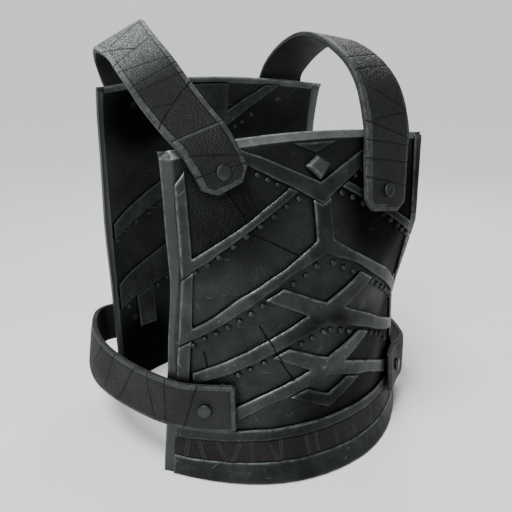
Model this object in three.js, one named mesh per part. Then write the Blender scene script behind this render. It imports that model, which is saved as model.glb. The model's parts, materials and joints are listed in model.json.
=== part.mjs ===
// Steel breastplate: a front plate and a back plate hung on two leather shoulder straps and
// closed by two leather side straps. Millimetres, +Z up, the wearer faces -Y, +X is the
// wearer's left. The two plates stand on their bottom edges.
import * as THREE from 'three';

// ---- driving dimensions -------------------------------------------------------------------
const WALL = 3;              // steel sheet
const RIM = 9;               // each leg of the 45 degree flange along the plate edges
const BORDER = 13;           // flat raised border inside the side flanges
const LIFT = 0.9;            // gap between the sheet and what is riveted to it
const GAP = 0.5;             // gap between neighbouring bands
const BAND = 3;              // thickness of the strapwork
const INNER_BAND = 2;        // thickness of the bands on the inside of the back plate
const GUSSET = 1.6;          // thickness of the small panel under the neck edge
const HEM = 2;               // thickness of the leather hem panel
const LEATHER = 8;           // thickness of the straps
const STRAP_CLEAR = 5.3;     // sheet to strap: a band and two gaps lie between
const COLUMNS = 18;          // facets across a plate between its side creases
const ROWS = 21;             // facets up a plate
const BAND_STEP = 18;        // longest facet of a band
const RIVET_RADIUS = 8.5;    // strap rivets
const RIVET_HEIGHT = 3.6;
const RIVET_SIDES = 14;

// Each plate is a table of levels: middle and edge are the depths (y) of its outer face on the
// middle line and at the side creases, half is its half width, power sets how fast the face
// curves back towards the sides.
const FRONT = {
  outward: -1,
  topMiddle: 411,
  topDrop: 11,
  topFlange: 8,
  levels: [
    { z: 0, middle: -87, edge: 10, half: 189, power: 2.2 },
    { z: 25, middle: -76, edge: 12, half: 186, power: 2.2 },
    { z: 62, middle: -63, edge: 13, half: 182, power: 2.2 },
    { z: 120, middle: -60, edge: 15, half: 177, power: 2.2 },
    { z: 175, middle: -55, edge: 14, half: 173, power: 2.1 },
    { z: 203, middle: -52, edge: 7, half: 173, power: 2.1 },
    { z: 250, middle: -47, edge: -6, half: 174, power: 2.0 },
    { z: 290, middle: -42, edge: -14, half: 178, power: 2.0 },
    { z: 332, middle: -34, edge: -12, half: 179, power: 2.0 },
    { z: 357, middle: -27, edge: -11, half: 179, power: 2.0 },
    { z: 386, middle: -18.5, edge: -9.5, half: 180, power: 2.0 },
    { z: 412, middle: -14, edge: -8.5, half: 180, power: 2.0 },
  ],
};
const BACK = {
  outward: 1,
  topMiddle: 466,
  topDrop: 11,
  topFlange: 8,
  levels: [
    { z: 0, middle: 281, edge: 231, half: 184, power: 2.4 },
    { z: 55, middle: 276, edge: 244, half: 180, power: 2.4 },
    { z: 147, middle: 280, edge: 249, half: 180, power: 2.4 },
    { z: 257, middle: 291, edge: 249, half: 182, power: 2.3 },
    { z: 330, middle: 290, edge: 249, half: 180, power: 2.3 },
    { z: 378, middle: 285, edge: 248, half: 179, power: 2.3 },
    { z: 430, middle: 277, edge: 240, half: 180, power: 2.3 },
    { z: 470, middle: 269, edge: 228, half: 180, power: 2.3 },
  ],
};

// Bands of the front plate, drawn for +x and mirrored. Each row is a cut across the band:
// x and z of its upper side, then of its lower side.
const CHEVRON = [
  { x: 0, z: 356, lowX: 0, lowZ: 332 },
  { x: 33, z: 371, lowX: 33, lowZ: 350.5 },
  { x: 66, z: 386, lowX: 66, lowZ: 368.5 },
  { x: 97, z: 399, lowX: 120, lowZ: 396.5 },
];
const BRACE = [
  { x: 40.5, z: 353.4, lowX: 30.5, lowZ: 348.1 },
  { x: 94, z: 322, lowX: 94, lowZ: 311.5 },
  { x: 156, z: 287.5, lowX: 156, lowZ: 274 },
];
const YOKE_FORK = { x: 12, z: 291, crotchZ: 275 };
const YOKE_ARM = [
  { x: 36, z: 275.5, lowX: 46, lowZ: 256.5 },
  { x: 110, z: 233, lowX: 110, lowZ: 213.5 },
  { x: 152, z: 197.5, lowX: 152, lowZ: 181 },
];
const UPPER_CROSS = {
  top: 216, side: 27, sideZ: 204.5, bottom: 192.5,
  rise: [{ x: 55.5, z: 242.3, lowX: 77.5, lowZ: 230 }],
  fall: [
    { x: 75, z: 181, lowX: 72, lowZ: 163 },
    { x: 121, z: 155, lowX: 122, lowZ: 137 },
    { x: 152, z: 139, lowX: 152, lowZ: 123.5 },
  ],
};
const LOWER_CROSS = {
  top: 147, side: 26, sideZ: 136, bottom: 124,
  rise: [{ x: 51, z: 167.3, lowX: 71, lowZ: 158.5 }],
  fall: [
    { x: 78, z: 115, lowX: 78, lowZ: 98.5 },
    { x: 116, z: 96, lowX: 117, lowZ: 76 },
    { x: 137, z: 85.5, lowX: 137, lowZ: 67 },
    { x: 158, z: 75.5, lowX: 158, lowZ: 67 },
  ],
};
const SMALL_CHEVRON = [
  { x: 0, z: 98, lowX: 0, lowZ: 78.5 },
  { x: 29, z: 112.6, lowX: 52, lowZ: 105 },
];
const WAIST = { top: 66, bottom: 51 };
const FOOT_BAND = { top: 26, bottom: 0.6 };
const BORDER_TOP = { right: [367, 381], left: [398, 398] };
const BRACE_FOOT = 264;      // where the brace's lower side runs out across the border
const YOKE_FOOT = 171;       // the same for the yoke

// Bands of the back plate, the same inside and outside.
const BACK_PANEL = { half: 37, bottom: 391 };
const BACK_COLLAR = [
  { x: 37.6, z: 415.5, lowX: 37.6, lowZ: 391.5 },
  { x: 100, z: 454, lowX: 122, lowZ: 452.5 },
];
const BACK_CHEVRON = [
  { x: 0, z: 356, lowX: 0, lowZ: 331 },
  { x: 77, z: 315, lowX: 75, lowZ: 290 },
  { x: 148, z: 277, lowX: 151, lowZ: 249 },
  { x: 168, z: 261, lowX: 168, lowZ: 238 },
];
const BACK_GIRDLE = [
  { x: 0, z: 245, lowX: 0, lowZ: 196 },
  { x: 71, z: 213, lowX: 76, lowZ: 162 },
  { x: 149, z: 180, lowX: 140, lowZ: 139 },
  { x: 168, z: 166, lowX: 168, lowZ: 125 },
];
const BACK_TAB = [
  { x: 107, z: 149.5, lowX: 138, lowZ: 138.5 },
  { x: 106, z: 86, lowX: 136, lowZ: 86 },
];

const STUD = { half: 17.5, sideZ: 374.5, top: 386, bottom: 357.6, wall: 4, height: 9, inset: 0.3 };
const NECK_GUSSET = { half: 31, top: 400, bottom: 388.5 };

// Shoulder straps: points on the outer face along the middle of the strap, from its front end
// over the shoulder to its rear end. tilt lifts the side towards +x. A row without a y rests
// on the plate that it names.
const STRAP_LEFT = {
  stations: [
    { x: 92, z: 314, tilt: -11, width: 71, on: 'front' },
    { x: 95, z: 340, tilt: -9, width: 71, on: 'front' },
    { x: 98, z: 364, tilt: -7, width: 71, on: 'front' },
    { x: 101, z: 386, tilt: -4, width: 71, on: 'front' },
    { x: 103, z: 404, tilt: -2, width: 71, on: 'front' },
    { x: 106, y: -13, z: 436, tilt: 0, width: 68 },
    { x: 109, y: 5, z: 463, tilt: 0, width: 65 },
    { x: 111, y: 32, z: 487, tilt: -2, width: 62 },
    { x: 112, y: 67, z: 506, tilt: -4, width: 61 },
    { x: 113, y: 106, z: 519, tilt: -6, width: 60 },
    { x: 115, y: 148, z: 522, tilt: -9, width: 61 },
    { x: 119, y: 190, z: 512, tilt: -12, width: 64 },
    { x: 123, y: 230, z: 494, tilt: -12, width: 68 },
    { x: 125, y: 258, z: 472, tilt: -10, width: 71 },
    { x: 127, z: 445, tilt: -7, width: 73, on: 'back' },
    { x: 127, z: 405, tilt: -4, width: 71, on: 'back' },
  ],
  frontRivet: 25,
  rearRivet: 26,
};
const STRAP_RIGHT = {
  stations: [
    { x: -115, z: 361, tilt: 20, width: 56, on: 'front' },
    { x: -122, z: 378, tilt: 21, width: 56, on: 'front' },
    { x: -130, z: 396, tilt: 22, width: 57, on: 'front' },
    { x: -139, y: -18, z: 414, tilt: 24, width: 57 },
    { x: -148, y: -2, z: 430, tilt: 27, width: 58 },
    { x: -154, y: 18, z: 445, tilt: 30, width: 59 },
    { x: -158, y: 43, z: 461, tilt: 32, width: 60 },
    { x: -158, y: 76, z: 477, tilt: 34, width: 61 },
    { x: -156, y: 118, z: 493, tilt: 35, width: 62 },
    { x: -154, y: 158, z: 509, tilt: 34, width: 63 },
    { x: -153, y: 196, z: 520, tilt: 31, width: 71 },
    { x: -147, y: 228, z: 517, tilt: 24, width: 71 },
    { x: -139, y: 253, z: 499, tilt: 14, width: 69 },
    { x: -131, y: 266, z: 474, tilt: 8, width: 66 },
    { x: -127, z: 445, tilt: 5, width: 66, on: 'back' },
    { x: -125, z: 405, tilt: 3, width: 66, on: 'back' },
  ],
  frontRivet: 19,
  rearRivet: 26,
};
const CLIP = { length: 13, depth: 13 };    // cut corners of the shoulder straps
const SIDE_CLIP = { length: 3, depth: 3 };

// Side straps: rows for x > 0, mirrored for the other side. lean tips the upper edge towards
// the body. The left strap starts further out and hangs lower.
const SIDE_STRAP = [
  { x: 119, z: 100, width: 60, on: 'front' },
  { x: 148, z: 99, width: 60, on: 'front' },
  { x: 172, y: -4, z: 100, lean: 2, width: 60 },
  { x: 190, y: 20, z: 101, lean: 6, width: 60 },
  { x: 206, y: 54, z: 101, lean: 9, width: 59 },
  { x: 221, y: 98, z: 101, lean: 14, width: 58 },
  { x: 230, y: 145, z: 101, lean: 15, width: 58 },
  { x: 228, y: 192, z: 102, lean: 12, width: 57 },
  { x: 217, y: 232, z: 103, lean: 7, width: 57 },
  { x: 196, y: 260, z: 103, lean: 0, width: 57 },
  { x: 163, z: 103, width: 57, on: 'back' },
  { x: 134, z: 103, width: 57, on: 'back' },
];
const SIDE_PLACE = {
  left: { x: 12, z: -27, frontRivet: 31 },
  right: { x: 0, z: 0, frontRivet: 36 },
};
const SIDE_REAR_RIVET = 15;

// ---- materials ----------------------------------------------------------------------------
const steel = (color, roughness) => new THREE.MeshStandardMaterial({ color, roughness, metalness: 0.9 });
const PLATE_STEEL = steel(0x33363a, 0.55);
const BAND_STEEL = steel(0x4a4e52, 0.5);
const RIVET_STEEL = steel(0x6b6f73, 0.4);
const STRAP_LEATHER = new THREE.MeshStandardMaterial({ color: 0x34363a, roughness: 0.7 });
const HEM_LEATHER = new THREE.MeshStandardMaterial({ color: 0x38302c, roughness: 0.8 });

// ---- surfaces -----------------------------------------------------------------------------
// A monotone cubic through one column of a table, so that no level overshoots.
function column(rows, name) {
  const z = rows.map((row) => row.z);
  const v = rows.map((row) => row[name]);
  const slope = v.slice(1).map((value, i) => (value - v[i]) / (z[i + 1] - z[i]));
  const tangent = v.map((_, i) => {
    if (i === 0) return slope[0];
    if (i === v.length - 1) return slope[i - 1];
    const a = slope[i - 1];
    const b = slope[i];
    return a * b <= 0 ? 0 : (2 * a * b) / (a + b);
  });
  return (height) => {
    const h = THREE.MathUtils.clamp(height, z[0], z[z.length - 1]);
    let i = 0;
    while (i < z.length - 2 && h > z[i + 1]) i += 1;
    const span = z[i + 1] - z[i];
    const t = (h - z[i]) / span;
    const rest = 1 - t;
    return v[i] * (1 + 2 * t) * rest * rest + v[i + 1] * t * t * (3 - 2 * t)
      + span * (tangent[i] * t * rest * rest - tangent[i + 1] * t * t * rest);
  };
}

// The smooth outer face of a plate, with its outline and its outward normal.
function surface(plate) {
  const middle = column(plate.levels, 'middle');
  const edge = column(plate.levels, 'edge');
  const half = column(plate.levels, 'half');
  const power = column(plate.levels, 'power');
  const depth = (x, z) => {
    const across = Math.abs(x) / (half(z) - RIM);
    return middle(z) + (edge(z) - middle(z)) * across ** power(z);
  };
  const normal = (x, z) => {
    const h = 0.5;
    const dx = (depth(x + h, z) - depth(x - h, z)) / (2 * h);
    const dz = (depth(x, z + h) - depth(x, z - h)) / (2 * h);
    return new THREE.Vector3(-dx, 1, -dz).multiplyScalar(plate.outward).normalize();
  };
  const top = (x) => plate.topMiddle - plate.topDrop * (x / half(plate.topMiddle)) ** 2;
  const point = (x, z, offset) => (
    new THREE.Vector3(x, depth(x, z), z).addScaledVector(normal(x, z), offset));
  return { plate, depth, half, top, normal, point };
}

// ---- closed meshes ------------------------------------------------------------------------
function meshFrom(name, points, faces, material) {
  const geometry = new THREE.BufferGeometry();
  const numbers = points.flatMap((p) => [p.x, p.y, p.z]);
  geometry.setAttribute('position', new THREE.Float32BufferAttribute(numbers, 3));
  geometry.setIndex(faces.flat());
  geometry.computeVertexNormals();
  const mesh = new THREE.Mesh(geometry, material);
  mesh.name = name;
  return mesh;
}

const quad = (a, b, c, d) => [[a, b, c], [a, c, d]];

// The sheet of a plate: an outer grid with flanged edges and an inner grid one wall behind it.
function plateMesh(name, face) {
  const { plate, depth, half, top } = face;
  const columns = COLUMNS + 2;
  const rows = ROWS + 1;
  const outer = [];
  for (let j = 0; j <= rows; j += 1) {
    for (let i = 0; i <= columns; i += 1) {
      const share = THREE.MathUtils.clamp((i - 1) / COLUMNS, 0, 1) * 2 - 1;
      const crest = top(share * half(plate.topMiddle));
      const z = j === rows ? crest : ((crest - plate.topFlange) * j) / ROWS;
      const atSide = i === 0 || i === columns;
      const x = share * (half(z) - (atSide ? 0 : RIM));
      const creaseX = share * (half(z) - RIM);
      const drop = atSide || j === rows ? RIM : 0;
      outer.push(new THREE.Vector3(x, depth(creaseX, z) - plate.outward * drop, z));
    }
  }
  const stride = columns + 1;
  const skin = [];
  for (let j = 0; j < rows; j += 1) {
    for (let i = 0; i < columns; i += 1) {
      const a = j * stride + i;
      const corners = [a, a + 1, a + 1 + stride, a + stride];
      if (plate.outward > 0) corners.reverse();
      skin.push(...quad(...corners));
    }
  }
  const normals = vertexNormals(outer, skin);
  const inner = outer.map((p, k) => {
    const q = p.clone().addScaledVector(normals[k], -WALL);
    if (k < stride) q.z = 0;
    return q;
  });
  return meshFrom(name, [...outer, ...inner], thicken(skin, outer.length), PLATE_STEEL);
}

function vertexNormals(points, faces) {
  const normals = points.map(() => new THREE.Vector3());
  faces.forEach(([a, b, c]) => {
    const u = points[b].clone().sub(points[a]);
    const v = points[c].clone().sub(points[a]);
    const n = u.cross(v);
    [a, b, c].forEach((k) => normals[k].add(n));
  });
  return normals.map((n) => n.normalize());
}

// Close an open skin with its copy, count points further on, and walls along its free edges.
function thicken(skin, count) {
  const edges = new Set(skin.flatMap(([a, b, c]) => [`${a}_${b}`, `${b}_${c}`, `${c}_${a}`]));
  const walls = [...edges].map((key) => key.split('_').map(Number))
    .filter(([a, b]) => !edges.has(`${b}_${a}`))
    .flatMap(([a, b]) => quad(b, a, a + count, b + count));
  return [...skin, ...skin.map(([a, b, c]) => [a + count, c + count, b + count]), ...walls];
}

// A band or panel that hugs a face: flat cells drawn as [x, z] corners, lifted along the
// normal between two offsets. far is the visible side.
function hug(name, cells, face, near, far, material) {
  const index = new Map();
  const flat = [];
  const vertex = ([x, z]) => {
    const key = `${x.toFixed(3)} ${z.toFixed(3)}`;
    if (!index.has(key)) {
      index.set(key, flat.length);
      flat.push([x, z]);
    }
    return index.get(key);
  };
  const flip = (face.plate.outward > 0) !== (far < near);
  const skin = cells.flatMap((cell) => {
    const ring = cell.map(vertex);
    if (signedArea(cell) < 0 !== flip) ring.reverse();
    return ring.slice(2).map((k, i) => [ring[0], ring[i + 1], k]);
  });
  const points = [far, near].flatMap((offset) => flat.map(([x, z]) => face.point(x, z, offset)));
  return meshFrom(name, points, thicken(skin, flat.length), material);
}

function signedArea(cell) {
  return cell.reduce((sum, [x, z], i) => {
    const [nextX, nextZ] = cell[(i + 1) % cell.length];
    return sum + (x * nextZ - nextX * z) / 2;
  }, 0);
}

const mirror = (cells, side) => cells.map((cell) => cell.map(([x, z]) => [x * side, z]));
const bothSides = (cells) => [...cells, ...mirror(cells, -1)];

const joint = (a, b) => [[a.x, a.z], [a.lowX, a.lowZ], [b.lowX, b.lowZ], [b.x, b.z]];

// Cells of a band between consecutive cuts, with long stretches divided evenly.
function strip(cuts) {
  const cells = [];
  cuts.slice(1).forEach((next, i) => {
    const cut = cuts[i];
    const length = Math.max(
      Math.hypot(next.x - cut.x, next.z - cut.z),
      Math.hypot(next.lowX - cut.lowX, next.lowZ - cut.lowZ),
    );
    const parts = Math.ceil(length / BAND_STEP);
    const at = (t) => [
      [THREE.MathUtils.lerp(cut.x, next.x, t), THREE.MathUtils.lerp(cut.z, next.z, t)],
      [THREE.MathUtils.lerp(cut.lowX, next.lowX, t), THREE.MathUtils.lerp(cut.lowZ, next.lowZ, t)],
    ];
    for (let k = 0; k < parts; k += 1) {
      const [upper, lower] = at(k / parts);
      const [upperNext, lowerNext] = at((k + 1) / parts);
      cells.push([upper, lower, lowerNext, upperNext]);
    }
  });
  return cells;
}

// ---- steel pieces of the front plate --------------------------------------------------------
const front = surface(FRONT);
const back = surface(BACK);
const innerX = (z) => front.half(z) - RIM - BORDER;
const outerX = (z) => front.half(z) - RIM - GAP;
const borderCut = (z, outerZ = z) => ({ x: outerX(outerZ), z: outerZ, lowX: innerX(z), lowZ: z });
const onFront = (name, cells) => hug(name, cells, front, LIFT, LIFT + BAND, BAND_STEEL);

// A brace with the border above it: both end on the brace's lower side.
function brace(side, name) {
  const last = BRACE[BRACE.length - 1];
  const [outerTop, innerTop] = BORDER_TOP[name];
  const upper = borderCut(last.z);
  const lower = borderCut(last.lowZ, BRACE_FOOT);
  const end = { x: innerX(last.z), z: last.z, lowX: innerX(last.lowZ), lowZ: last.lowZ };
  const cells = [...strip([borderCut(innerTop, outerTop), upper]), joint(upper, lower),
    ...strip([...BRACE.slice(0, -1), end])];
  return onFront(`brace_${name}`, mirror(cells, side));
}

function yoke() {
  const { x, z, crotchZ } = YOKE_FORK;
  const lowest = CHEVRON[0].lowZ - GAP;
  const rise = (CHEVRON[1].lowZ - CHEVRON[0].lowZ) / CHEVRON[1].x;
  const spine = strip([
    { x: 0, z: lowest, lowX: x, lowZ: lowest + rise * x },
    { x: 0, z, lowX: x, lowZ: z },
  ]);
  const last = YOKE_ARM[YOKE_ARM.length - 1];
  const end = { x: innerX(last.z), z: last.z, lowX: innerX(last.lowZ), lowZ: last.lowZ };
  const arm = strip([{ x, z, lowX: 0, lowZ: crotchZ }, ...YOKE_ARM.slice(0, -1), end]);
  const top = borderCut(BRACE[BRACE.length - 1].lowZ - 2 * GAP, BRACE_FOOT - 2 * GAP);
  const border = [...strip([top, borderCut(last.z)]),
    joint(borderCut(last.z), borderCut(last.lowZ, YOKE_FOOT))];
  const fork = [[0, z], [x, z], [0, crotchZ]];
  return onFront('yoke', bothSides([...spine, fork, ...arm, ...border]));
}

function cross(name, shape) {
  const { top, side, sideZ, bottom } = shape;
  const start = { x: 0, z: top, lowX: side, lowZ: sideZ };
  const turn = { x: side, z: sideZ, lowX: 0, lowZ: bottom };
  const centre = [[0, top], [side, sideZ], [0, bottom]];
  const cells = [centre, ...strip([start, ...shape.rise]), ...strip([turn, ...shape.fall])];
  return onFront(name, bothSides(cells));
}

// A level band between two heights, from crease to crease.
function level(top, bottom, parts) {
  return bothSides(Array.from({ length: parts }, (_, i) => {
    const [a, b] = [i / parts, (i + 1) / parts];
    return [[a * outerX(top), top], [a * outerX(bottom), bottom],
      [b * outerX(bottom), bottom], [b * outerX(top), top]];
  }));
}

function lowerBorder(side, name) {
  const last = YOKE_ARM[YOKE_ARM.length - 1];
  const top = borderCut(last.lowZ - 2 * GAP, YOKE_FOOT - 2 * GAP);
  return onFront(`border_${name}`, mirror(strip([top, borderCut(WAIST.top + GAP)]), side));
}

// The lozenge stud: a block with sloped shoulders around a flat table.
function stud() {
  const { half, sideZ, top, bottom, wall, height, inset } = STUD;
  const outline = [[0, bottom], [half, sideZ], [0, top], [-half, sideZ]];
  const middle = [0, (top + bottom) / 2];
  const shrink = ([x, z]) => [x + (middle[0] - x) * inset, z + (middle[1] - z) * inset];
  const ring = (corners, offset) => corners.map(([x, z]) => front.point(x, z, offset));
  const points = [...ring(outline, LIFT), ...ring(outline, wall), ...ring(outline.map(shrink), height)];
  const faces = [[0, 2, 1], [0, 3, 2], [8, 9, 10], [8, 10, 11]];
  for (let i = 0; i < 4; i += 1) {
    const next = (i + 1) % 4;
    faces.push(...quad(i, next, next + 4, i + 4), ...quad(i + 4, next + 4, next + 8, i + 8));
  }
  return meshFrom('lozenge_stud', points, faces, RIVET_STEEL);
}

function gusset() {
  const { half, top, bottom } = NECK_GUSSET;
  const cells = bothSides([[[0, bottom], [half, top], [0, top]]]);
  return hug('neck_gusset', cells, front, LIFT, LIFT + GUSSET, PLATE_STEEL);
}

function hemPanel() {
  const cells = level(WAIST.bottom - GAP, FOOT_BAND.top + GAP, 10);
  return hug('hem_panel', cells, front, LIFT, LIFT + HEM, HEM_LEATHER);
}

// ---- steel pieces of the back plate -----------------------------------------------------------
function backBands(place, near, far) {
  const { half, bottom } = BACK_PANEL;
  const crest = (x) => back.top(x) - BACK.topFlange - 2 * GAP;
  const panel = strip([
    { x: 0, z: crest(0), lowX: half, lowZ: crest(half) },
    { x: 0, z: bottom, lowX: half, lowZ: bottom },
  ]);
  const add = (name, cells) => hug(`${name}_${place}`, cells, back, near, far, BAND_STEEL);
  return [
    add('back_panel', bothSides(panel)),
    add('back_collar_left', mirror(strip(BACK_COLLAR), 1)),
    add('back_collar_right', mirror(strip(BACK_COLLAR), -1)),
    add('back_chevron', bothSides(strip(BACK_CHEVRON))),
    add('back_girdle', bothSides(strip(BACK_GIRDLE))),
    add('back_tab_left', mirror(strip(BACK_TAB), 1)),
    add('back_tab_right', mirror(strip(BACK_TAB), -1)),
  ];
}

// ---- straps -------------------------------------------------------------------------------------
// A strap: its section is carried along the stations. The outer face has broad worn shoulders.
function sectionPoints(width) {
  const shoulder = 5;
  const inner = 1;
  const half = width / 2;
  return [[-half, -LEATHER + inner], [-half, -shoulder / 2], [-half + shoulder, 0],
    [half - shoulder, 0], [half, -shoulder / 2], [half, -LEATHER + inner],
    [half - inner, -LEATHER], [-half + inner, -LEATHER]];
}

function strapCurve(stations) {
  const spline = (points) => new THREE.CatmullRomCurve3(points, false, 'catmullrom', 0.5);
  const path = spline(stations.map((s) => s.at));
  const across = spline(stations.map((s) => s.across));
  const width = spline(stations.map((s) => new THREE.Vector3(s.width, 0, 0)));
  const frame = (distance) => {
    const t = path.getUtoTmapping(0, distance);
    const tangent = path.getTangent(t);
    const side = across.getPoint(t);
    side.addScaledVector(tangent, -side.dot(tangent)).normalize();
    const outward = side.clone().cross(tangent);
    return { at: path.getPoint(t), side, outward, width: width.getPoint(t).x };
  };
  return { length: path.getLength(), frame };
}

function strap(name, stations, clip, material) {
  const { length, frame } = strapCurve(stations);
  const steps = Math.round(length / BAND_STEP);
  const distances = [0];
  for (let k = 0; k <= steps; k += 1) {
    distances.push(clip.length + ((length - 2 * clip.length) * k) / steps);
  }
  distances.push(length);
  const rings = distances.map((distance) => {
    const { at, side, outward, width } = frame(distance);
    const toEnd = Math.min(distance, length - distance);
    const cut = clip.depth * Math.max(0, 1 - toEnd / clip.length);
    return sectionPoints(width - 2 * cut)
      .map(([u, v]) => at.clone().addScaledVector(side, u).addScaledVector(outward, v));
  });
  return meshFrom(name, rings.flat(), tubeFaces(rings.length, rings[0].length), material);
}

// Skin of a closed section carried through count rings, with fanned ends.
function tubeFaces(count, size) {
  const faces = [];
  for (let r = 0; r < count - 1; r += 1) {
    for (let i = 0; i < size; i += 1) {
      const next = (i + 1) % size;
      faces.push(...quad(r * size + i, r * size + next, (r + 1) * size + next, (r + 1) * size + i));
    }
  }
  const last = (count - 1) * size;
  for (let i = 1; i < size - 1; i += 1) {
    faces.push([0, i + 1, i], [last, last + i, last + i + 1]);
  }
  return faces;
}

// A row of a strap that rests on a plate: flat across its width, one clearance off the face
// where it comes nearest. alongX and alongZ point across the strap.
function resting(face, { x, z, width }, alongX, alongZ) {
  const { outward } = face.plate;
  const at = (u) => [x + alongX * u, z + alongZ * u];
  const slope = (face.depth(...at(width / 2)) - face.depth(...at(-width / 2))) / width;
  const samples = [-0.5, -0.25, 0, 0.25, 0.5].map((share) => {
    const u = share * width;
    const away = (STRAP_CLEAR + LEATHER) / Math.abs(face.normal(...at(u)).y);
    return outward * (face.depth(...at(u)) - slope * u) + away;
  });
  const y = outward * Math.max(...samples);
  const across = new THREE.Vector3(alongX, slope, alongZ).normalize();
  return { at: new THREE.Vector3(x, y, z), across, width };
}

const plates = { front, back };

function shoulderStations(rows) {
  return rows.map((row) => {
    const lift = THREE.MathUtils.degToRad(row.tilt);
    if (row.on) return resting(plates[row.on], row, Math.cos(lift), Math.sin(lift));
    const across = new THREE.Vector3(Math.cos(lift), 0, Math.sin(lift));
    return { at: new THREE.Vector3(row.x, row.y, row.z), across, width: row.width };
  });
}

function sideStations(side, shift) {
  return SIDE_STRAP.map((row) => {
    const { y, lean, width } = row;
    const x = row.x + shift.x;
    const z = row.z + shift.z;
    if (row.on) return resting(plates[row.on], { x: side * x, z, width }, 0, -side);
    const slope = THREE.MathUtils.degToRad(lean);
    const across = new THREE.Vector3(Math.sin(slope), 0, -side * Math.cos(slope));
    return { at: new THREE.Vector3(side * x, y, z), across, width };
  });
}

// A domed rivet head on the outer face of a strap.
function rivet(name, stations, distance) {
  const { length, frame } = strapCurve(stations);
  const { at, side, outward } = frame(distance < 0 ? length + distance : distance);
  const along = outward.clone().cross(side);
  const ring = (radius, height) => Array.from({ length: RIVET_SIDES }, (_, i) => {
    const angle = (2 * Math.PI * i) / RIVET_SIDES;
    return at.clone().addScaledVector(side, radius * Math.cos(angle))
      .addScaledVector(along, radius * Math.sin(angle)).addScaledVector(outward, height);
  });
  const base = 1;
  const rings = [ring(RIVET_RADIUS, base), ring(RIVET_RADIUS, base + RIVET_HEIGHT * 0.4),
    ring(RIVET_RADIUS * 0.72, base + RIVET_HEIGHT)];
  return meshFrom(name, rings.flat(), tubeFaces(rings.length, RIVET_SIDES), RIVET_STEEL);
}

// ---- assembly -----------------------------------------------------------------------------------
const model = new THREE.Group();
model.add(plateMesh('front_plate', front), plateMesh('back_plate', back));
model.add(
  onFront('neck_chevron', bothSides(strip(CHEVRON))),
  gusset(),
  stud(),
  brace(1, 'left'),
  brace(-1, 'right'),
  yoke(),
  cross('upper_cross', UPPER_CROSS),
  cross('lower_cross', LOWER_CROSS),
  onFront('small_chevron', bothSides(strip(SMALL_CHEVRON))),
  lowerBorder(1, 'left'),
  lowerBorder(-1, 'right'),
  onFront('waist_band', level(WAIST.top, WAIST.bottom, 10)),
  hemPanel(),
  onFront('foot_band', level(FOOT_BAND.top, FOOT_BAND.bottom, 10)),
);
model.add(...backBands('outer', LIFT, LIFT + BAND));
model.add(...backBands('inner', -WALL - LIFT, -WALL - LIFT - INNER_BAND));

[['left', STRAP_LEFT], ['right', STRAP_RIGHT]].forEach(([name, shape]) => {
  const stations = shoulderStations(shape.stations);
  model.add(
    strap(`shoulder_strap_${name}`, stations, CLIP, STRAP_LEATHER),
    rivet(`shoulder_rivet_front_${name}`, stations, shape.frontRivet),
    rivet(`shoulder_rivet_rear_${name}`, stations, -shape.rearRivet),
  );
});
[['left', 1], ['right', -1]].forEach(([name, side]) => {
  const place = SIDE_PLACE[name];
  const stations = sideStations(side, place);
  model.add(
    strap(`side_strap_${name}`, stations, SIDE_CLIP, STRAP_LEATHER),
    rivet(`side_rivet_front_${name}`, stations, place.frontRivet),
    rivet(`side_rivet_rear_${name}`, stations, -SIDE_REAR_RIVET),
  );
});

// The origin is the middle of the footprint, on the floor.
const box = new THREE.Box3().setFromObject(model);
model.position.set(-(box.min.x + box.max.x) / 2, -(box.min.y + box.max.y) / 2, -box.min.z);
model.updateMatrixWorld(true);

export default model;
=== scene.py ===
"""A steel cuirass: front and back plate with raised strapwork, four leather straps and rivets.

Places that are given in x and z are those of the part's own drawing: x from the middle line
towards the wearer's left, z up from the floor. Sizes are in millimetres, and times MM they are
in metres, as Blender's are. Tones go from 0, black, to 1.
"""
import json
import math
import random

import bmesh
import bpy
import numpy as np
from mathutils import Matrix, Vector, noise
from mathutils.bvhtree import BVHTree


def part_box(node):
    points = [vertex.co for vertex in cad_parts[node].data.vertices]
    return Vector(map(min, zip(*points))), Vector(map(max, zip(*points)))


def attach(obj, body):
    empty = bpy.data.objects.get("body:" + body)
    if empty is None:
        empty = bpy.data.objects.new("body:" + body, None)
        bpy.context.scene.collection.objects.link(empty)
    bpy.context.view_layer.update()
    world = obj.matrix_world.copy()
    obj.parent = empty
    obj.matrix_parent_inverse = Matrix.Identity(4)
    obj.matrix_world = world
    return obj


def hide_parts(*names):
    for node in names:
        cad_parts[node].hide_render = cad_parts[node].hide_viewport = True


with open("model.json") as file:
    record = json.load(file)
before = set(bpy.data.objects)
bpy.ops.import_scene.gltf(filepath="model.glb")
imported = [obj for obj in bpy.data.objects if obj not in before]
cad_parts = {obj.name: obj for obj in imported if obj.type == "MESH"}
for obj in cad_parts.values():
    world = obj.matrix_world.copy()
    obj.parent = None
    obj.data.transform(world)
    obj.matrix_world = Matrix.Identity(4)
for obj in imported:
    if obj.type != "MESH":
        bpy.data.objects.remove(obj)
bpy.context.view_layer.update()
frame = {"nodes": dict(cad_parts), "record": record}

MM = 0.001
SAME_PLACE = 0.02 * MM               # corners of a solid's faces this near are one corner
FRONT_LOW, FRONT_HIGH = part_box("front_plate")
MIDDLE_X = (FRONT_LOW.x + FRONT_HIGH.x) / 2
DRAWING_Y = FRONT_LOW.y + 87 * MM    # the drawing's y = 0 lies 87 mm behind the plate's front

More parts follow.
